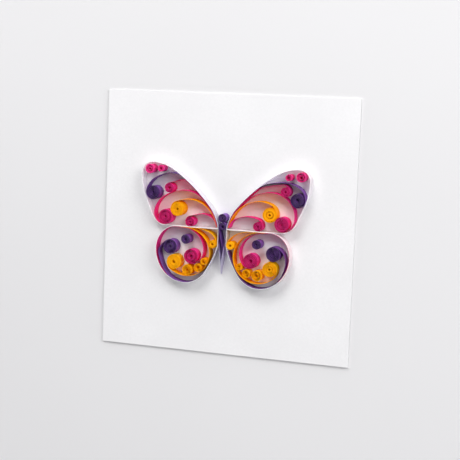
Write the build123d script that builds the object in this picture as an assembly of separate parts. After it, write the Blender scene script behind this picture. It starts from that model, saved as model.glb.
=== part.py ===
from build123d import *
import os
from math import atan2, cos, degrees, hypot, pi, radians, sin, sqrt

# A quilled paper butterfly, face up on its white backing card. Every piece is a paper strip that
# stands on its long edge, bent into a wing outline or wound into a coil and glued down.
# The butterfly's body lies along Y with the head toward +Y; +Z is up from the card.

# The paper strips
paper = 0.3
strip_width = 10.0
glue = 0.05
lap = paper + glue

# The backing card
card_side = 230.0
card_thickness = 1.4

# The winding of the coils
eye_radius = 0.55
winding_pitch = 0.8
winding_half_turns = 2
loose_pitch = 1.5

# How large the rolls were wound, from outside to outside of their last turn, as radii
large_roll = 6.5
small_roll = 4.2
medium_roll = 3.65
tiny_roll = 3.0
loose_rolls = (4.8, 3.7, 3.0)
loose_half_turns = (5, 4, 3)

# The body: a long loop pinched to a tail, which bends a little to the left and is trimmed at a
# slant, with a coil in its front end and the coil of the head before it
body_half_width = 3.45
waist_half_width = 1.4
waist_offset = -0.3
waist_place = -23.6
tail_end = -42.8
tail_offset = -2.15
tail_heading = 84
tail_height = 2.0
trim_length = 15.0
head_radius = 3.75
head_offset = -0.4

# Where the wing strips meet the body, and the run that the two wings share
root = body_half_width + lap
root_clearance = 1.2
wing_seam = -2.1
hind_corner = 42.8
tail_gap = 9.0


def step(pose, run):
    """The pose (x, y, heading) at the end of a run (length, curvature) that begins at a pose."""
    x, y, heading = pose
    length, curvature = run
    turn = length * curvature
    chord = length if abs(turn) < 1e-9 else 2 * sin(turn / 2) / curvature
    middle = radians(heading) + turn / 2
    return x + chord * cos(middle), y + chord * sin(middle), heading + degrees(turn)


def end_pose(path):
    """The pose at the end of a path, which is a start pose and a list of runs."""
    pose, runs = path
    for run in runs:
        pose = step(pose, run)
    return pose


def path_length(path):
    """The length of a path along its middle line."""
    return sum(length for length, curvature in path[1])


def arc_to(pose, x, y):
    """The one run that leaves a pose along its heading and reaches the point (x, y)."""
    chord = hypot(x - pose[0], y - pose[1])
    bearing = degrees(atan2(y - pose[1], x - pose[0])) - pose[2]
    half_turn = radians((bearing + 180) % 360 - 180)
    if abs(half_turn) < 1e-7:
        return chord, 0.0
    return chord * half_turn / sin(half_turn), 2 * sin(half_turn) / chord


def biarc(start, end):
    """Two tangent arcs between two poses, joined where both have the same reach."""
    ax, ay = cos(radians(start[2])), sin(radians(start[2]))
    bx, by = cos(radians(end[2])), sin(radians(end[2]))
    dx, dy = end[0] - start[0], end[1] - start[1]
    spread = 2 * (1 - ax * bx - ay * by)
    along = 2 * (dx * (ax + bx) + dy * (ay + by))
    square = dx * dx + dy * dy
    reach = square / along if spread < 1e-9 else (sqrt(along ** 2 + 4 * spread * square) - along) / (2 * spread)
    joint_x = (start[0] + ax * reach + end[0] - bx * reach) / 2
    joint_y = (start[1] + ay * reach + end[1] - by * reach) / 2
    first = arc_to(start, joint_x, joint_y)
    return [first, arc_to(step(start, first), end[0], end[1])]


def join(*pieces):
    """One path through poses and shorter paths, with tangent arcs between them."""
    pieces = [piece if len(piece) == 2 else (piece, []) for piece in pieces]
    pose, runs = pieces[0][0], list(pieces[0][1])
    for before, after in zip(pieces, pieces[1:]):
        here = end_pose(before)
        if hypot(after[0][0] - here[0], after[0][1] - here[1]) > paper:
            runs += biarc(here, after[0])
        runs += after[1]
    return pose, runs


def beside(path, distance):
    """A path that lies to the left of another by a distance."""
    (x, y, heading), runs = path
    normal = radians(heading + 90)
    pose = (x + distance * cos(normal), y + distance * sin(normal), heading)
    return pose, [(length * (1 - bend * distance), bend / (1 - bend * distance)) for length, bend in runs]


def backward(path):
    """The same path from its end to its start."""
    x, y, heading = end_pose(path)
    return (x, y, heading + 180), [(length, -curvature) for length, curvature in reversed(path[1])]


def stretch(path, first, last):
    """The part of a path between two distances along it."""
    pose, start, runs, passed = path[0], None, [], 0.0
    for length, curvature in path[1]:
        near = max(first - passed, 0)
        far = min(last - passed, length)
        if far > near:
            start = start or step(pose, (near, curvature))
            runs.append((far - near, curvature))
        pose = step(pose, (length, curvature))
        passed += length
    return start, runs


def mirrored(path):
    """The same path on the other side of the body."""
    (x, y, heading), runs = path
    return (-x, y, 180 - heading), [(length, -curvature) for length, curvature in runs]


def winding(x, y, radius, entry, turn, half_turns, pitch, closed=False):
    """A spiral of half turns, wound inward from the angle at which the strip comes in.

    turn is 1 for anticlockwise and -1 for clockwise. A closed winding keeps its first whole turn
    tight, because the strip's outer end is glued down on it.
    """
    r = radius - paper / 2
    pose = (x + r * cos(radians(entry)), y + r * sin(radians(entry)), entry + 90 * turn)
    runs = []
    for number in range(half_turns):
        runs.append((pi * r, turn / r))
        r -= (lap if closed and number < 2 else pitch) / 2
    return pose, runs


def wall_edges(path):
    """The edges of one long face of a strip, in plan."""
    pose, runs = path
    edges = []
    for length, curvature in runs:
        middle = step(pose, (length / 2, curvature))
        after = step(pose, (length, curvature))
        points = [(p[0], p[1], card_thickness) for p in (pose, middle, after)]
        straight = abs(length * curvature) < 1e-6
        edges.append(Line(points[0], points[2]) if straight else ThreePointArc(*points))
        pose = after
    return edges


def strip_plan(path):
    """The plan of a strip of paper whose middle line is a path."""
    left = wall_edges(beside(path, paper / 2))
    right = wall_edges(beside(path, -paper / 2))
    caps = [Line(left[0] @ 0, right[0] @ 0), Line(left[-1] @ 1, right[-1] @ 1)]
    plan = Face(Wire(left + right + caps))
    return plan if plan.normal_at().Z > 0 else -plan


def stand(plan):
    """A plan made into paper that stands up from the card by the width of the strip."""
    return extrude(plan, strip_width, dir=(0, 0, 1))


def pressed_core(path):
    """The plan of the turns that lie tight together round the eye, inside the end of a winding."""
    x, y, heading = end_pose(path)
    length, curvature = path[1][-1]
    side = 1 if curvature > 0 else -1
    r = 1 / abs(curvature) - winding_pitch / 2
    toward = radians(heading + 90 * side)
    centre = Plane((x + r * cos(toward), y + r * sin(toward), card_thickness))
    return centre * (Circle(r) - RegularPolygon(eye_radius, 6))


def coiled_strip(path):
    """A strip that ends in a tightly wound roll."""
    return stand(strip_plan(path) + pressed_core(path))


def tight_coil(x, y, radius, entry, turn):
    """A coil wound tight from one strip, with its outer end glued down."""
    return winding(x, y, radius, entry, turn, winding_half_turns, winding_pitch, closed=True)


def loose_coil(x, y, radius, entry, turn, half_turns):
    """A coil that was let spring open before its outer end was glued down."""
    return winding(x, y, radius, entry, turn, half_turns, loose_pitch, closed=True)


def scroll_end(x, y, radius, entry, turn):
    """The tight roll at the end of a scroll's arm. A small one shows half a turn less."""
    half_turns = winding_half_turns if radius > small_roll else winding_half_turns - 1
    return winding(x, y, radius, entry, turn, half_turns, winding_pitch)


def card():
    """The white card that carries the butterfly, centred under its body."""
    return Pos(0, 0, card_thickness / 2) * Box(card_side, card_side, card_thickness)


def body_right_side():
    """The right side of the body loop, from its front end to its tail."""
    shoulder = (body_half_width, 0, -90)
    waist = (waist_offset + waist_half_width, waist_place, -98)
    return join(shoulder, waist, (tail_offset + lap / 2, tail_end, tail_heading - 180))


def body_loop():
    """The long loop of the thorax and abdomen, both ends glued together at the tail."""
    tail = (tail_offset - lap / 2, tail_end, tail_heading)
    waist = (waist_offset - waist_half_width, waist_place, 100)
    shoulder = (-body_half_width, 0, 90)
    front = (shoulder, [(pi * body_half_width, -1 / body_half_width)])
    return stand(strip_plan(join(tail, waist, front, body_right_side()))) - tail_trimming()


def tail_trimming():
    """What the scissors took off the tail, so that its top edge runs down toward the card."""
    top = card_thickness + strip_width
    beyond = tail_end - tail_height
    first = (tail_end + trim_length, top)
    slope = (strip_width - tail_height) / trim_length
    low = (beyond, card_thickness + tail_height - slope * tail_height)
    side = Plane.YZ * Polyline(first, low, (beyond, top + glue), (first[0], top + glue), close=True)
    return extrude(make_face(side), body_half_width + strip_width, both=True)


def thorax_coil():
    """The coil in the front end of the body. Its strip comes up slantwise from the loop's right side."""
    right_side = beside(backward(body_right_side()), lap)
    return coiled_strip(join(
        stretch(right_side, trim_length, trim_length + 3),
        (-0.6, -13.8, 106),
        scroll_end(0, 0, body_half_width - lap + paper / 2, 180, -1),
    ))


def head_coil():
    """The coil of the head, glued to the front of the body loop."""
    front = body_half_width + paper / 2 + glue
    return coiled_strip(tight_coil(head_offset, front + head_radius, head_radius, 270, 1))


def forewing_margin():
    """The front margin of a forewing from the body to its tip and down to the wing seam."""
    return join(
        (root, wing_seam + lap, 80.5),
        (28.2, 33.4, 42),
        (67.2, 53.2, 0),
        (76.8, 43.0, -90),
        (72.3, 21.0, -113.5),
        (53.4, wing_seam, -180),
    )


def forewing_outline():
    """One white strip round the whole forewing, back to the body along the seam."""
    pose, runs = forewing_margin()
    return pose, runs + [(end_pose((pose, runs))[0] - root, 0.0)]


def forewing_tail(place, leaves):
    """The start of a scroll's strip, the place-th one inside the margin, glued down until it leaves."""
    return stretch(beside(forewing_margin(), -place * lap), root_clearance, leaves)


def hindwing_margin():
    """The margin of a hindwing from the seam round its outer side to the body."""
    return join(
        (hind_corner, wing_seam - lap, 0),
        (61.6, -23.1, -90),
        (34.2, -52.2, -180),
        (14.7, -40.8, -237.5),
        (root + 0.2, -17.6, -254),
    )


def hindwing_outline():
    """One white strip along the seam, round the hindwing and up beside the body."""
    top = wing_seam - lap
    seam_run = ((root, top, 0), [(hind_corner - root, 0.0)])
    body_end = (root, -16.5, -270)
    pose, runs = join(seam_run, hindwing_margin(), body_end)
    return pose, runs + [(top - lap - body_end[1], 0.0)]


def hindwing_tail(first, leaves):
    """The start of a scroll's strip, glued inside the margin, between two distances from the body."""
    return stretch(beside(backward(hindwing_margin()), lap), first, leaves)


def forewing_scrolls(side):
    """The five scrolls of a forewing, in the order in which their strips leave the margin."""
    left = side == "left"
    seat = wing_seam + paper / 2 + glue
    purple = join(
        forewing_tail(1, 56.3 if left else 45.7),
        (52, 44.2, -11) if left else (54, 41.4, 1),
        scroll_end(66.0, 26.3, large_roll, 8, -1) if left else scroll_end(66.8, 27.0, large_roll, 2, -1),
    )
    small_magenta = join(
        forewing_tail(2, 51.0 if left else 43.8),
        (45, 37.2, -18) if left else (40, 37.6, 12),
        scroll_end(50.7, 31.0, small_roll, 7, -1) if left else scroll_end(55.6, 33.6, small_roll, 10, -1),
    )
    big_magenta = join(
        forewing_tail(3, 27.6 if left else 23.8),
        (37.4, 29.5, -4) if left else (43.5, 32.2, -2),
        (64.0, 10.7, -79) if left else (64.5, 11.6, -91),
        scroll_end(53.4, 5.4, large_roll, -119 if left else -110, -1),
    )
    orange = join(
        forewing_tail(4, 5.3 if left else 8.1),
        (35.4, 21.7, -8) if left else (31.6, 24, 5),
        scroll_end(42.4, 13.0, large_roll, 0 if left else 10, -1),
    )
    pink = join(
        forewing_tail(5, 3.9 if left else 2.4),
        (22.6, 9.4, -12) if left else (22.0, 10.0, 2),
        scroll_end(30.4 if left else 32.1, seat + small_roll, small_roll, -5 if left else 0, -1),
    )
    return {
        "purple_scroll": purple,
        "small_magenta_scroll": small_magenta,
        "big_magenta_scroll": big_magenta,
        "orange_scroll": orange,
        "pink_scroll": pink,
    }


def hindwing_scrolls(side):
    """The four scrolls of a hindwing. Two come round the outer side and two start on the seam."""
    left = side == "left"
    under_top = wing_seam - 2 * lap
    purple_leaves = 56.5 if left else 59.9
    purple = join(
        hindwing_tail(3 * root_clearance, purple_leaves),
        (58.8, -27.9, 78) if left else (58, -30.5, 79),
        scroll_end(48.2, -21.0, large_roll, 56, 1) if left else scroll_end(47.0, -20.7, large_roll, 74, 1),
    )
    outer_length = path_length(beside(hindwing_margin(), -lap))
    magenta = join(
        hindwing_tail(purple_leaves + tail_gap, outer_length),
        ((hind_corner - 3.3, under_top - lap, 180), [(3.0 if left else 0.5, 0.0)]),
        (16.7, -20.7, -95) if left else (16.3, -22.4, -90),
        scroll_end(28.2 if left else 26.7, -28.3, large_roll, -73 if left else -85, 1),
    )
    yellow = join(
        ((hind_corner - 4.3, under_top, 180), [(3.0, 0.0)]),
        (11.2, -23.1, -95) if left else (10.9, -22.7, -97),
        (35.8, -45.8, 9.5) if left else (32.5, -47.7, -1),
        scroll_end(44.2, -34.3, large_roll, 20 if left else -3, 1),
    )
    beside_body = root + paper / 2 + glue + medium_roll
    small_yellow = join(
        ((hind_corner - 12.3, under_top, 180), [(3.9 if left else 2.5, 0.0)]),
        scroll_end(beside_body + (1.0 if left else 0), -16.0, medium_roll, 179 if left else 157, 1),
    )
    return {
        "purple_scroll": purple,
        "magenta_scroll": magenta,
        "yellow_scroll": yellow,
        "small_yellow_scroll": small_yellow,
    }


def single_coils(side):
    """The coils of a wing that stand by themselves on the card."""
    left = side == "left"
    return {
        "forewing_tip_coil_large": tight_coil(69.5 if left else 68.6, 47.0, small_roll, 60, -1),
        "forewing_tip_coil_small": tight_coil(59.2 if left else 57.8, 47.8 if left else 46.2, tiny_roll, 60, -1),
        "hindwing_purple_coil": tight_coil(33.7 if left else 31.6, -13.4, small_roll, 60, -1),
    }


def loose_coils(side):
    """The three springy coils that lie inside the yellow scroll of a hindwing, the largest first."""
    left = side == "left"
    places = (
        (31.2 if left else 32.8, -40.7, -90),
        (21.5 if left else 23.1, -38.0 if left else -39.5, -120),
        (16.2 if left else 16.6, -32.0 if left else -34.0, -150),
    )
    return {
        f"hindwing_yellow_coil_{number}": loose_coil(x, y, radius, entry, 1, half_turns)
        for number, (x, y, entry), radius, half_turns in zip((1, 2, 3), places, loose_rolls, loose_half_turns)
    }


def wing_pieces(side):
    """Every piece of the two wings on one side of the body."""
    paths = {"forewing_outline": forewing_outline(), "hindwing_outline": hindwing_outline()}
    paths |= loose_coils(side)
    rolled = {"forewing_" + name: path for name, path in forewing_scrolls(side).items()}
    rolled |= {"hindwing_" + name: path for name, path in hindwing_scrolls(side).items()}
    rolled |= single_coils(side)
    flip = mirrored if side == "left" else lambda path: path
    solids = {name: stand(strip_plan(flip(path))) for name, path in paths.items()}
    solids |= {name: coiled_strip(flip(path)) for name, path in rolled.items()}
    return {side + "_" + name: solid for name, solid in solids.items()}


pieces = {
    "backing_card": card(),
    "body_loop": body_loop(),
    "thorax_coil": thorax_coil(),
    "head_coil": head_coil(),
}
for side in ("left", "right"):
    pieces |= wing_pieces(side)

os.makedirs("parts", exist_ok=True)
for name, solid in pieces.items():
    export_step(solid, f"parts/{name}.step")
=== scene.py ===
from math import atan2, ceil, cos, degrees, hypot, pi, radians, sin, sqrt

import bpy
import numpy as np
from mathutils import Matrix, Vector


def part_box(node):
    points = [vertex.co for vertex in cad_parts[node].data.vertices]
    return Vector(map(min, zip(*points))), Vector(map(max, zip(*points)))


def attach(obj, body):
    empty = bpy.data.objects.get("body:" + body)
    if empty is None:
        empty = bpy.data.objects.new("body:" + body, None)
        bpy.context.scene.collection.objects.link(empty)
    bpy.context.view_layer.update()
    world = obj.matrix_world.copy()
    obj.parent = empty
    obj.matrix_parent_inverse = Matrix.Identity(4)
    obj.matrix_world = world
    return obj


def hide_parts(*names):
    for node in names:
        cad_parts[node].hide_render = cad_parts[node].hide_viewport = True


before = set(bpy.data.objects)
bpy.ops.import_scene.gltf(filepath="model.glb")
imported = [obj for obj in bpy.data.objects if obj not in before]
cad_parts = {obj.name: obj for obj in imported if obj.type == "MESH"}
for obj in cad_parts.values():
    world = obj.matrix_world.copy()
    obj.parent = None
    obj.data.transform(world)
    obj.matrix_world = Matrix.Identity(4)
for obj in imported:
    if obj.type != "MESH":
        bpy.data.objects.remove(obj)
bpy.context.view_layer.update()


# The backing card: a square of smooth white card, guillotined to 230 mm a side and 1.4 mm thick.
# It lies flat, and every strip of the butterfly is glued to its face, which has a faint tooth, a
# few soft fibres and a colour that is not quite even.

def linear(hex_code):
    """The linear colour of an sRGB hex code, by the sRGB curve."""
    parts = [int(hex_code[i:i + 2], 16) / 255 for i in (1, 3, 5)]
    return tuple(
        p / 12.92 if p <= 0.04045 else ((p + 0.055) / 1.055) ** 2.4 for p in parts
    ) + (1.0,)


def add_node(tree, kind, inputs=(), **settings):
    """A new shader node with its settings and inputs: numbers, colours or other nodes' sockets."""
    node = tree.nodes.new(kind)
    for key, value in settings.items():
        setattr(node, key, value)
    for key, value in dict(inputs).items():
        if isinstance(value, bpy.types.NodeSocket):
            tree.links.new(value, node.inputs[key])
        else:
            node.inputs[key].default_value = value
    return node


def new_material(name):
    """An empty material, its node tree and its output node."""
    material = bpy.data.materials.new(name)
    material.use_nodes = True
    material.node_tree.nodes.clear()
    return material, material.node_tree, add_node(material.node_tree, "ShaderNodeOutputMaterial")


def card_material():
    """White card: a tooth of 0.25 mm, fibres of 2 mm and a slow change of tone over 60 mm.

    The tooth takes the shine off the face; fibres and tone keep the white from looking flat. Real
    tooth and fibres are finer: these are as coarse as they need to be to show.
    """
    material, tree, output = new_material("card, white, smooth, guillotined")
    place = add_node(tree, "ShaderNodeTexCoord").outputs["Object"]
    tone = add_node(tree, "ShaderNodeTexNoise", {"Vector": place, "Scale": 16.0, "Detail": 2.0})
    fibre = add_node(tree, "ShaderNodeTexNoise", {
        "Vector": place, "Scale": 500.0, "Detail": 6.0, "Roughness": 0.7,
    })
    tooth = add_node(tree, "ShaderNodeTexNoise", {"Vector": place, "Scale": 4000.0, "Detail": 3.0})
    blend = add_node(tree, "ShaderNodeMath", {
        0: tone.outputs[0], 1: fibre.outputs[0],
    }, operation="MULTIPLY")
    ramp = add_node(tree, "ShaderNodeValToRGB", {"Fac": blend.outputs[0]})
    ramp.color_ramp.elements[0].position = 0.10
    ramp.color_ramp.elements[0].color = linear("#ECEBEC")
    ramp.color_ramp.elements[1].position = 0.45
    ramp.color_ramp.elements[1].color = linear("#F5F4F5")
    height = add_node(tree, "ShaderNodeMath", {
        0: tooth.outputs[0], 1: fibre.outputs[0],
    }, operation="ADD")
    bump = add_node(tree, "ShaderNodeBump", {
        "Height": height.outputs[0], "Strength": 0.25, "Distance": 0.00003,
    })
    shader = add_node(tree, "ShaderNodeBsdfPrincipled", {
        "Base Color": ramp.outputs[0], "Roughness": 0.7, "Specular IOR Level": 0.25,
        "Normal": bump.outputs[0],
    })
    tree.links.new(shader.outputs[0], output.inputs[0])
    return material


card_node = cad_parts["backing_card"]
white_card = card_material()
for card_slot in card_node.material_slots:
    card_slot.material = white_card
card_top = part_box("backing_card")[1].z * 1000


# The body: one purple paper strip runs round it as a long loop, pinched flat and glued to itself
# at the tail. A coil wound from a second strip fills its front end, and the coil of the head is
# glued before it. Every strip is 10 mm wide and stands on its long edge, its thin cut edge up.

# Sizes are in millimetres. A strip of the CAD part is as thick as paper, and one here as sheet.
paper = 0.3
glue = 0.05
lap = paper + glue
sheet = 0.27
strip_width = 10.0
broken_edge = 0.03
waver_room = 0.1
glued_gap = 0.02
eye_radius = 1.1
body_half_width = 3.45
tail_end = -42.8
tail_height = 2.0
trim_length = 15.0
fade_start = -13.0
fade_end = -30.0
head_radius = 3.75
longest_step = 1.0
widest_turn = radians(9)
purple_face = "#8452AB"
purple_edge_and_shade = "#432B59"
lavender = "#CFC6E2"


def step(pose, run):
    """The pose (x, y, heading) after a run (length, curvature), which may be an array of lengths.

    Its end lies a chord of length * sin(turn / 2) / (turn / 2) away, at half the turn from the
    heading, which is in degrees.
    """
    x, y, heading = pose
    length, curvature = run
    turn = length * curvature
    chord = length * np.sinc(turn / 2 / pi)
    middle = radians(heading) + turn / 2
    return x + chord * np.cos(middle), y + chord * np.sin(middle), heading + np.degrees(turn)


def end_pose(path):
    """The pose at the end of a path, which is a start pose and a list of runs."""
    pose, runs = path
    for run in runs:
        pose = step(pose, run)
    return pose


def arc_to(pose, x, y):
    """The run that leaves a pose along its heading and reaches a point.

    An arc turns by twice the angle between the heading and its chord.
    """
    chord = hypot(x - pose[0], y - pose[1])
    bearing = degrees(atan2(y - pose[1], x - pose[0])) - pose[2]
    half_turn = radians((bearing + 180) % 360 - 180)
    if abs(half_turn) < 1e-7:
        return chord, 0.0
    return chord * half_turn / sin(half_turn), 2 * sin(half_turn) / chord


def biarc(start, end):
    """Two tangent arcs between two poses, with equal reach r: |d - r (a + b)| = 2 r."""
    ax, ay = cos(radians(start[2])), sin(radians(start[2]))
    bx, by = cos(radians(end[2])), sin(radians(end[2]))
    dx, dy = end[0] - start[0], end[1] - start[1]
    spread = 2 * (1 - ax * bx - ay * by)
    along = 2 * (dx * (ax + bx) + dy * (ay + by))
    square = dx * dx + dy * dy
    if spread < 1e-9:
        reach = square / along
    else:
        reach = (sqrt(along ** 2 + 4 * spread * square) - along) / (2 * spread)
    first = arc_to(start, (start[0] + ax * reach + end[0] - bx * reach) / 2,
                   (start[1] + ay * reach + end[1] - by * reach) / 2)
    return [first, arc_to(step(start, first), end[0], end[1])]


def join(*parts):
    """One path through poses and shorter paths, with tangent arcs between them."""
    parts = [part if len(part) == 2 else (part, []) for part in parts]
    pose, runs = parts[0][0], list(parts[0][1])
    for before, after in zip(parts, parts[1:]):
        here = end_pose(before)
        if hypot(after[0][0] - here[0], after[0][1] - here[1]) > paper:
            runs += biarc(here, after[0])
        runs += after[1]
    return pose, runs


def beside(path, distance):
    """A path that lies to the left of another by a distance.

    Each arc keeps its angle, and its radius, counted positive to the left, is less by the distance.
    """
    (x, y, heading), runs = path
    normal = radians(heading + 90)
    pose = (x + distance * cos(normal), y + distance * sin(normal), heading)
    ratios = [1 - bend * distance for length, bend in runs]
    return pose, [(length * ratio, bend / ratio) for (length, bend), ratio in zip(runs, ratios)]


def backward(path):
    """The same path from its end to its start."""
    x, y, heading = end_pose(path)
    return (x, y, heading + 180), [(length, -curvature) for length, curvature in reversed(path[1])]


def stretch(path, first, last):
    """The part of a path between two distances along it."""
    pose, start, runs, passed = path[0], None, [], 0.0
    for length, curvature in path[1]:
        near = max(first - passed, 0)
        far = min(last - passed, length)
        if far > near:
            start = start or step(pose, (near, curvature))
            runs.append((far - near, curvature))
        pose = step(pose, (length, curvature))
        passed += length
    return start, runs


def mirrored(path):
    """The same path on the other side of the body."""
    (x, y, heading), runs = path
    return (-x, y, 180 - heading), [(length, -curvature) for length, curvature in runs]


def winding(x, y, radius, entry, turn, seed, gap=0.01, spring=1.1, glued=False):
    """A spiral of half turns wound inward to a small open eye.

    It starts at the angle entry round its centre and goes round anticlockwise if turn is 1, or
    clockwise if it is -1. The radius shrinks by half a pitch at each half turn, and
    pitch = sheet + gap + spring u^4, with u drawn evenly from 0 to 1 once a turn: most turns lie
    close, and a few sprang in the fingers. Where the strip's end is glued down, the outermost turn
    lies tight.
    """
    random = np.random.default_rng(seed)
    r = radius - paper / 2
    pose = (x + r * cos(radians(entry)), y + r * sin(radians(entry)), entry + 90 * turn)
    runs = []
    while r > eye_radius:
        runs.append((pi * r, turn / r))
        if len(runs) % 2:
            sprung = spring * random.random() ** 4
        tight = glued and len(runs) < 3
        r -= (sheet + (glued_gap if tight else gap + sprung)) / 2
    return pose, runs


def sampled(path):
    """Points, headings in radians and distances along a path, each run in equal small parts."""
    pose, runs = path
    rows = [np.array([[pose[0], pose[1], radians(pose[2]), 0.0]])]
    done = 0.0
    for length, curvature in runs:
        turn = abs(length * curvature)
        count = max(1, ceil(length / longest_step), ceil(turn / widest_turn))
        part = length * np.arange(1, count + 1) / count
        x, y, heading = step(pose, (part, curvature))
        rows.append(np.stack([x, y, np.radians(heading), done + part], 1))
        pose = step(pose, (length, curvature))
        done += length
    return np.concatenate(rows)


def strip_mesh(name, path, seed, trimmed):
    """A paper strip on its long edge along a path.

    The surface is p(s, k) = c(s) + d(k) n(s) + z(k, s) up, with c the path, n its left normal and
    k round a six-cornered section: two bottom corners, and a top with broken edges. The top wavers
    just below the full width, as a cut edge does, by three sines of s with seeded phases. On the
    trimmed tail of the body it runs down in a straight line to the height of the tail.
    """
    x, y, heading, s = sampled(path).T
    wave = np.random.default_rng(seed).random(3) * 2 * pi
    long_wave = 0.05 * np.sin(s / 17 + wave[0])
    waver = long_wave + 0.03 * np.sin(s / 5.3 + wave[1]) + 0.02 * np.sin(s / 1.9 + wave[2])
    half = sheet / 2
    slant = tail_height + (strip_width - tail_height) / trim_length * np.maximum(y - tail_end, 0)
    tall = np.minimum(strip_width, slant) if trimmed else strip_width
    top = card_top + tall + waver - waver_room
    low = np.full_like(s, card_top)
    across = np.array([half, -half, -half, -half + broken_edge, half - broken_edge, half])
    corners = len(across)
    up = np.stack([low, low, top - broken_edge, top, top, top - broken_edge], 1)
    points = np.empty((len(s), corners, 3))
    points[:, :, 0] = x[:, None] - np.sin(heading)[:, None] * across
    points[:, :, 1] = y[:, None] + np.cos(heading)[:, None] * across
    points[:, :, 2] = up
    i = np.arange(len(s) - 1)[:, None] * corners
    k = np.arange(corners)[None, :]
    k_next = (k + 1) % corners
    quads = np.stack([i + k, i + corners + k, i + corners + k_next, i + k_next], 2).reshape(-1, 4)
    start_cap = np.arange(corners)
    end_cap = (len(s) - 1) * corners + start_cap[::-1]
    faces = quads.tolist() + [start_cap.tolist(), end_cap.tolist()]
    mesh = bpy.data.meshes.new(name)
    mesh.from_pydata((points.reshape(-1, 3) / 1000).tolist(), [], faces)
    mesh.polygons.foreach_set("use_smooth", np.ones(len(faces), bool))
    mesh.set_sharp_from_angle(angle=radians(30))
    grain = mesh.attributes.new("grain", "FLOAT_VECTOR", "POINT")
    along = np.stack([np.repeat(s, corners), up.ravel(), np.tile(across, len(s))], 1) / 1000
    grain.data.foreach_set("vector", along.ravel().astype(np.float32))
    return mesh


def paper_material(name, colour, edge, speck=0.10, gloss=0.12, through=0.12, tail=None):
    """Dyed paper: fibres of 0.3 mm by 1.4 mm along the strip and a slow change of tone over 11 mm.

    Real fibres are some ten times narrower: these are as coarse as they need to be to show, and
    keep a wall from looking like plastic. The cut edge has a tone of its own, which draws the
    spiral of each roll; where it is much darker than the wall, part of that darkness is painted
    shade, standing for the shade between the turns. A little light passes through the sheet and
    tints what lies behind it, but none goes into the edge. With a colour tail, the sheet turns
    into that colour, painted paler, from fade_start to fade_end along the body.
    """
    material, tree, output = new_material(name)
    grain = add_node(tree, "ShaderNodeAttribute", attribute_name="grain").outputs["Vector"]
    drawn = add_node(tree, "ShaderNodeMapping", {"Vector": grain, "Scale": (700.0, 3300.0, 3300.0)})
    fibre = add_node(tree, "ShaderNodeTexNoise", {
        "Vector": drawn.outputs[0], "Scale": 1.0, "Detail": 5.0, "Roughness": 0.65,
    })
    slow = add_node(tree, "ShaderNodeTexNoise", {"Vector": grain, "Scale": 90.0, "Detail": 2.0})
    shade = add_node(tree, "ShaderNodeMath", {
        0: fibre.outputs[0], 1: slow.outputs[0],
    }, operation="ADD")
    amount = add_node(tree, "ShaderNodeMapRange", {
        "Value": shade.outputs[0], "From Min": 0.6, "From Max": 1.4,
        "To Min": 1 - speck, "To Max": 1 + speck,
    })
    dyed = add_node(tree, "ShaderNodeVectorMath", {
        0: linear(colour)[:3], 3: amount.outputs[0],
    }, operation="SCALE")
    # The cut edge's colour: for purple and magenta it is partly painted shade, standing for the
    # shade between the turns of a roll.
    cut = add_node(tree, "ShaderNodeVectorMath", {
        0: linear(edge)[:3], 3: amount.outputs[0],
    }, operation="SCALE")
    normal = add_node(tree, "ShaderNodeNewGeometry").outputs["True Normal"]
    facing = add_node(tree, "ShaderNodeSeparateXYZ", {0: normal}).outputs["Z"]
    is_cut = add_node(tree, "ShaderNodeMath", {0: facing, 1: 0.5}, operation="GREATER_THAN")
    # A colour mix takes its two colours at inputs 6 and 7 and gives its colour at output 2.
    mix = add_node(tree, "ShaderNodeMix", {
        "Factor": is_cut.outputs[0], 6: dyed.outputs[0], 7: cut.outputs[0],
    }, data_type="RGBA")
    if tail:
        place = add_node(tree, "ShaderNodeTexCoord").outputs["Object"]
        along_body = add_node(tree, "ShaderNodeSeparateXYZ", {0: place}).outputs["Y"]
        fade = add_node(tree, "ShaderNodeMapRange", {
            "Value": along_body, "From Min": fade_start / 1000, "From Max": fade_end / 1000,
        })
        mix = add_node(tree, "ShaderNodeMix", {
            "Factor": fade.outputs[0], 6: mix.outputs[2], 7: linear(tail),
        }, data_type="RGBA")
    bump = add_node(tree, "ShaderNodeBump", {
        "Height": fibre.outputs[0], "Strength": 0.3, "Distance": 0.00003,
    })
    shader = add_node(tree, "ShaderNodeBsdfPrincipled", {
        "Base Color": mix.outputs[2], "Roughness": 0.6, "Specular IOR Level": gloss,
        "Normal": bump.outputs[0],
    })
    passing = add_node(tree, "ShaderNodeBsdfTranslucent", {"Color": dyed.outputs[0]})
    share = add_node(tree, "ShaderNodeMath", {
        0: is_cut.outputs[0], 1: -through, 2: through,
    }, operation="MULTIPLY_ADD")
    both = add_node(tree, "ShaderNodeMixShader", {
        0: share.outputs[0], 1: shader.outputs[0], 2: passing.outputs[0],
    })
    tree.links.new(both.outputs[0], output.inputs[0])
    return material


def paper_strip(node, path, material, seed, trimmed=False):
    """A finished strip that stands for a CAD node."""
    piece = bpy.data.objects.new(node + "_paper", strip_mesh(node + "_paper", path, seed, trimmed))
    bpy.context.scene.collection.objects.link(piece)
    piece.data.materials.append(material)
    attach(piece, "root")
    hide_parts(node)


# Purple: a smoother sheet, so its faces shine a little at a low angle, with a darker cut edge that
# makes the rolls nearly black-violet from above: partly the edge's own deeper tone, partly painted
# shade for the shade between the turns. The sheet of the body is painted paler, lavender, at the
# tail.
purple_paper = paper_material(
    "paper, purple, dyed through, cut in strips", purple_face, purple_edge_and_shade, gloss=0.3,
)
# The body's sheet is painted paler, lavender, from the waist to the tail.
fading_paper = paper_material(
    "paper, purple, paler to lavender at the tail", purple_face, purple_edge_and_shade, gloss=0.3,
    tail=lavender,
)

right_side = join((body_half_width, 0, -90), (1.1, -23.6, -98), (-1.975, tail_end, -96))
crown = ((-body_half_width, 0, 90), [(pi * body_half_width, -1 / body_half_width)])
loop = join((-2.325, tail_end, 84), (-1.7, -23.6, 100), crown, right_side)
paper_strip("body_loop", loop, fading_paper, 1, trimmed=True)

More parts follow.
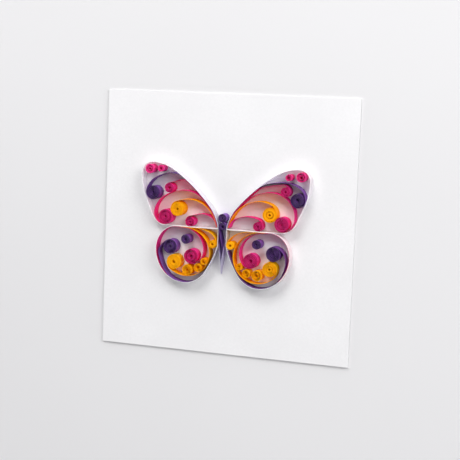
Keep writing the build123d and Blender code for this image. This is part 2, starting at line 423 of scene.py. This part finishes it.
# The thorax strip is glued inside the loop for 3 mm near the tail and comes up to its coil aslant.
from_tail = stretch(beside(backward(right_side), lap), 15, 18)
thorax_radius = body_half_width - lap + paper / 2
thorax = join(from_tail, (-0.6, -13.8, 106), winding(0, 0, thorax_radius, 180, -1, 11))
paper_strip("thorax_coil", thorax, purple_paper, 2)

head_place = body_half_width + paper / 2 + glue + head_radius
head = winding(-0.4, head_place, head_radius, 270, 1, 12, glued=True)
paper_strip("head_coil", head, purple_paper, 3)


# The forewings: a white strip runs round each. Five scrolls, purple, magenta, magenta, orange and
# magenta, start beside the body, glued inside one another to the front margin, and leave it one by
# one for a tight roll. Two pink coils stand alone near the tip. The sides differ, as handwork does.

root = body_half_width + lap
root_clearance = 1.2
wing_seam = -2.1
large_roll = 6.5
small_roll = 4.2
tiny_roll = 3.0

# White: a sheet that lets much light through, so its shaded walls stay pale against the card.
white_paper = paper_material(
    "paper, white, cut in strips", "#FAF8F9", "#FCFBFB", speck=0.03, through=0.5,
)
# Magenta: bright walls under a deep red cut edge, partly the edge's own deeper tone and partly
# painted shade for the shade between the turns of the rolls. Pink and orange: edges nearly as
# light as the walls, so that their rolls look paler from above.
magenta_paper = paper_material("paper, magenta, dyed through, cut in strips", "#F23490", "#BA2266")
pink_paper = paper_material("paper, pink, dyed through, cut in strips", "#F84698", "#E63484")
orange_paper = paper_material("paper, orange, dyed through, cut in strips", "#FFBA04", "#FFAE04")

front_margin = join(
    (root, wing_seam + lap, 80.5), (28.2, 33.4, 42), (67.2, 53.2, 0), (76.8, 43.0, -90),
    (72.3, 21.0, -113.5), (53.4, wing_seam, -180),
)
seam_start = end_pose(front_margin)[0]
fore_outline = (front_margin[0], front_margin[1] + [(seam_start - root, 0.0)])

for side in ("left", "right"):
    left = side == "left"
    flip = mirrored if left else lambda path: path
    first = 100 if left else 200

    def fore(name, path, material, seed):
        """One strip of this forewing."""
        paper_strip(f"{side}_forewing_{name}", flip(path), material, first + seed)

    def fore_tail(place, leaves):
        """The start of a scroll, the place-th strip inside the margin, until it leaves."""
        return stretch(beside(front_margin, -place * lap), root_clearance, leaves)

    def roll(x, y, radius, entry, seed, spring=1.1):
        """The clockwise roll at the end of a scroll."""
        return winding(x, y, radius, entry, -1, first + seed, spring=spring)

    fore("outline", fore_outline, white_paper, 0)
    fore("purple_scroll", join(
        fore_tail(1, 56.3 if left else 45.7),
        (52, 44.2, -11) if left else (54, 41.4, 1),
        roll(66.0, 26.3, large_roll, 8, 1) if left else roll(66.8, 27.0, large_roll, 2, 1),
    ), purple_paper, 1)
    fore("small_magenta_scroll", join(
        fore_tail(2, 51.0 if left else 43.8),
        (45, 37.2, -18) if left else (40, 37.6, 12),
        roll(50.7, 31.0, small_roll, 7, 2) if left else roll(55.6, 33.6, small_roll, 10, 2),
    ), magenta_paper, 2)
    fore("big_magenta_scroll", join(
        fore_tail(3, 27.6 if left else 23.8),
        (37.4, 29.5, -4) if left else (43.5, 32.2, -2),
        (64.0, 10.7, -79) if left else (64.5, 11.6, -91),
        roll(53.4, 5.4, large_roll, -119 if left else -110, 3),
    ), magenta_paper, 3)
    fore("orange_scroll", join(
        fore_tail(4, 5.3 if left else 8.1),
        (35.4, 21.7, -8) if left else (31.6, 24, 5),
        roll(42.4, 13.0, large_roll, 0 if left else 10, 4, spring=0.7),
    ), orange_paper, 4)
    seat = wing_seam + paper / 2 + glue
    fore("pink_scroll", join(
        fore_tail(5, 3.9 if left else 2.4),
        (22.6, 9.4, -12) if left else (22.0, 10.0, 2),
        roll(30.4 if left else 32.1, seat + small_roll, small_roll, -5 if left else 0, 5),
    ), magenta_paper, 5)
    tip_large = winding(69.5 if left else 68.6, 47.0, small_roll, 60, -1, first + 6, glued=True)
    fore("tip_coil_large", tip_large, pink_paper, 6)
    tip_x, tip_y = (59.2, 47.8) if left else (57.8, 46.2)
    tip_small = winding(tip_x, tip_y, tiny_roll, 60, -1, first + 7, glued=True)
    fore("tip_coil_small", tip_small, pink_paper, 7)


# The hindwings: a white strip runs round each. A purple and a magenta scroll come round the outer
# side, a yellow one sweeps from the seam round below them, and a small yellow one ends beside the
# body. A purple coil stands alone, and three yellow coils were let spring open and glued so.

hind_corner = 42.8
tail_gap = 9.0
medium_roll = 3.65

# Yellow: a warm sheet with an edge nearly as light as the walls.
yellow_paper = paper_material("paper, yellow, dyed through, cut in strips", "#FFBE04", "#FFB204")

hind_margin = join(
    (hind_corner, wing_seam - lap, 0), (61.6, -23.1, -90), (34.2, -52.2, -180),
    (14.7, -40.8, -237.5), (root + 0.2, -17.6, -254),
)
seam_run = ((root, wing_seam - lap, 0), [(hind_corner - root, 0.0)])
side_end = (root, -16.5, -270)
round_wing = join(seam_run, hind_margin, side_end)
hind_outline = (round_wing[0], round_wing[1] + [(wing_seam - 2 * lap - side_end[1], 0.0)])
inside = beside(backward(hind_margin), lap)
outer_length = sum(length for length, curvature in inside[1])
# The yellow strips begin under the top of the outline and the magenta one passes under them, at
# stations measured back from the outer corner.
under_top = wing_seam - 2 * lap
beside_body = root + paper / 2 + glue + medium_roll

for side in ("left", "right"):
    left = side == "left"
    flip = mirrored if left else lambda path: path
    first = 300 if left else 400

    def hind(name, path, material, seed):
        """One strip of this hindwing."""
        paper_strip(f"{side}_hindwing_{name}", flip(path), material, first + seed)

    def curl(x, y, radius, entry, seed, spring=1.1):
        """The anticlockwise roll at the end of a scroll."""
        return winding(x, y, radius, entry, 1, first + seed, spring=spring)

    hind("outline", hind_outline, white_paper, 0)
    purple_leaves = 56.5 if left else 59.9
    hind("purple_scroll", join(
        stretch(inside, 3 * root_clearance, purple_leaves),
        (58.8, -27.9, 78) if left else (58, -30.5, 79),
        curl(48.2, -21.0, large_roll, 56, 1) if left else curl(47.0, -20.7, large_roll, 74, 1),
    ), purple_paper, 1)
    hind("magenta_scroll", join(
        stretch(inside, purple_leaves + tail_gap, outer_length),
        ((hind_corner - 3.3, under_top - lap, 180), [(3.0 if left else 0.5, 0.0)]),
        (16.7, -20.7, -95) if left else (16.3, -22.4, -90),
        curl(28.2 if left else 26.7, -28.3, large_roll, -73 if left else -85, 2),
    ), magenta_paper, 2)
    hind("yellow_scroll", join(
        ((hind_corner - 4.3, under_top, 180), [(3.0, 0.0)]),
        (11.2, -23.1, -95) if left else (10.9, -22.7, -97),
        (35.8, -45.8, 9.5) if left else (32.5, -47.7, -1),
        curl(44.2, -34.3, large_roll, 20 if left else -3, 3, spring=0.7),
    ), yellow_paper, 3)
    roll_x, roll_entry = (beside_body + 1.0, 179) if left else (beside_body, 157)
    hind("small_yellow_scroll", join(
        ((hind_corner - 12.3, under_top, 180), [(3.9 if left else 2.5, 0.0)]),
        curl(roll_x, -16.0, medium_roll, roll_entry, 4, spring=0.7),
    ), yellow_paper, 4)
    alone = winding(33.7 if left else 31.6, -13.4, small_roll, 60, -1, first + 5, glued=True)
    hind("purple_coil", alone, purple_paper, 5)
    open_coils = (
        (31.2 if left else 32.8, -40.7, 4.8, -90),
        (21.5 if left else 23.1, -38.0 if left else -39.5, 3.7, -120),
        (16.2 if left else 16.6, -32.0 if left else -34.0, 3.0, -150),
    )
    for number, (x, y, radius, entry) in enumerate(open_coils, 1):
        seed = 5 + number
        loose = winding(x, y, radius, entry, 1, first + seed, gap=0.45, spring=0.7, glued=True)
        hind(f"yellow_coil_{number}", loose, yellow_paper, seed)


# The studio: a floor board painted matt and pale, two broad soft lights, beyond the head of the
# butterfly and on its right, a weak one overhead and a low band of light all round. The camera
# looks down on the card at the photograph's viewing angle.

floor_mesh = bpy.data.meshes.new("floor")
floor_mesh.from_pydata([(-3, -3, 0), (3, -3, 0), (3, 3, 0), (-3, 3, 0)], [], [(0, 1, 2, 3)])
floor = bpy.data.objects.new("floor", floor_mesh)
floor.location.z = -0.0005
bpy.context.scene.collection.objects.link(floor)
# Matt paint has no shine, and its tone drifts a little over a third of a metre.
floor_paint, tree, output = new_material("floor, pale, matt")
cloud = add_node(tree, "ShaderNodeTexNoise", {
    "Vector": add_node(tree, "ShaderNodeTexCoord").outputs["Object"], "Scale": 3.0, "Detail": 2.0,
})
pale = add_node(tree, "ShaderNodeValToRGB", {"Fac": cloud.outputs[0]})
pale.color_ramp.elements[0].color = linear("#E4E3E4")
pale.color_ramp.elements[1].color = linear("#E9E8E9")
matt = add_node(tree, "ShaderNodeBsdfPrincipled", {"Base Color": pale.outputs[0], "Roughness": 0.9})
tree.links.new(matt.outputs[0], output.inputs[0])
floor_mesh.materials.append(floor_paint)

world = bpy.data.worlds.new("low band of light")
world.use_nodes = True
sky = world.node_tree
direction = add_node(sky, "ShaderNodeTexCoord").outputs["Generated"]
height = add_node(sky, "ShaderNodeSeparateXYZ", {0: direction})
# The band is even up to 12 degrees above the horizon and fades out by 40.
fade = add_node(sky, "ShaderNodeMapRange", {
    "Value": height.outputs["Z"], "From Min": 0.2, "From Max": 0.65, "To Min": 1.7, "To Max": 0.0,
}, interpolation_type="SMOOTHSTEP")
sky.nodes["Background"].inputs["Color"].default_value = linear("#F6F7FA")
sky.links.new(fade.outputs[0], sky.nodes["Background"].inputs["Strength"])
bpy.context.scene.world = world


def soft_light(name, place, size, watts):
    """A square of white light that faces the middle of the card."""
    data = bpy.data.lights.new(name, "AREA")
    data.shape = "SQUARE"
    data.size = size
    data.energy = watts
    light = bpy.data.objects.new(name, data)
    light.location = place
    light.rotation_euler = (-Vector(place)).to_track_quat("-Z", "Y").to_euler()
    bpy.context.scene.collection.objects.link(light)


soft_light("window beyond the head", (-0.3, 1.8, 1.55), 1.2, 36.0)
soft_light("window on the right", (1.6, 0.95, 1.4), 1.2, 25.0)
soft_light("ceiling", (0.0, 0.0, 2.2), 1.2, 5.5)

# The camera's lens and pose are those that were solved from the photograph, lens in millimetres.
camera_data = bpy.data.cameras.new("camera")
camera_data.lens = 88.41
camera_data.sensor_width = 36.0
camera_data.clip_start = 0.01
camera = bpy.data.objects.new("camera", camera_data)
camera.matrix_world = Matrix((
    (0.95026, -0.07289, 0.30281, 0.30484),
    (0.03911, 0.99246, 0.11615, 0.11184),
    (-0.30899, -0.09853, 0.94595, 0.94127),
    (0.0, 0.0, 0.0, 1.0),
))
bpy.context.scene.collection.objects.link(camera)
bpy.context.scene.camera = camera
bpy.context.scene.view_settings.view_transform = "Standard"
# The strips stand close together, so the light between them is passed on many times.
bpy.context.scene.cycles.diffuse_bounces = 12

bpy.context.view_layer.update()
